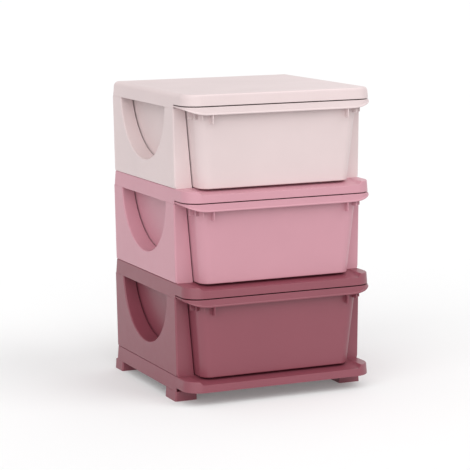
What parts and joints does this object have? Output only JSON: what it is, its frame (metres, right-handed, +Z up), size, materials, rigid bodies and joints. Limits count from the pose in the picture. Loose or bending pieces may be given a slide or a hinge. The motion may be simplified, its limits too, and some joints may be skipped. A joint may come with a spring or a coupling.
{
  "type": "plastic drawer tower",
  "caption": "Free-standing plastic tower of stacked pull-out drawers with lipped fronts, round side windows and short feet.",
  "frame": {"origin": "on the floor, under the middle of the tower's bounding box", "axes": "+Z up; the drawers face and slide out along -Y; +X to the right as seen from the front"},
  "size_m": [0.3764, 0.37, 0.562],
  "materials": {
    "pale_plastic": "satin moulded polypropylene, very pale pink",
    "mid_plastic": "satin moulded polypropylene, mid pink",
    "deep_plastic": "satin moulded polypropylene, dusky red-brown"
  },
  "bodies": {
    "frame": {"top_cover": "pale_plastic", "divider_upper": "mid_plastic", "divider_lower": "deep_plastic", "base_plate": "deep_plastic", "foot_front_left": "deep_plastic", "foot_front_right": "deep_plastic", "foot_rear_left": "deep_plastic", "foot_rear_right": "deep_plastic", "side_panel_left_upper": "pale_plastic", "side_panel_left_middle": "mid_plastic", "side_panel_left_lower": "deep_plastic", "side_panel_right_upper": "pale_plastic", "side_panel_right_middle": "mid_plastic", "side_panel_right_lower": "deep_plastic", "back_panel_upper": "pale_plastic", "back_panel_middle": "mid_plastic", "back_panel_lower": "deep_plastic"},
    "drawer_upper": {"drawer_upper": "pale_plastic"},
    "drawer_middle": {"drawer_middle": "mid_plastic"},
    "drawer_lower": {"drawer_lower": "deep_plastic"}
  },
  "joints": [
    {"name": "drawer_upper_slide", "type": "slide", "parent": "frame", "child": "drawer_upper", "axis": [0, -1, 0], "range_m": [0, 0.276]},
    {"name": "drawer_middle_slide", "type": "slide", "parent": "frame", "child": "drawer_middle", "axis": [0, -1, 0], "range_m": [0, 0.276]},
    {"name": "drawer_lower_slide", "type": "slide", "parent": "frame", "child": "drawer_lower", "axis": [0, -1, 0], "range_m": [0, 0.276]}
  ]
}
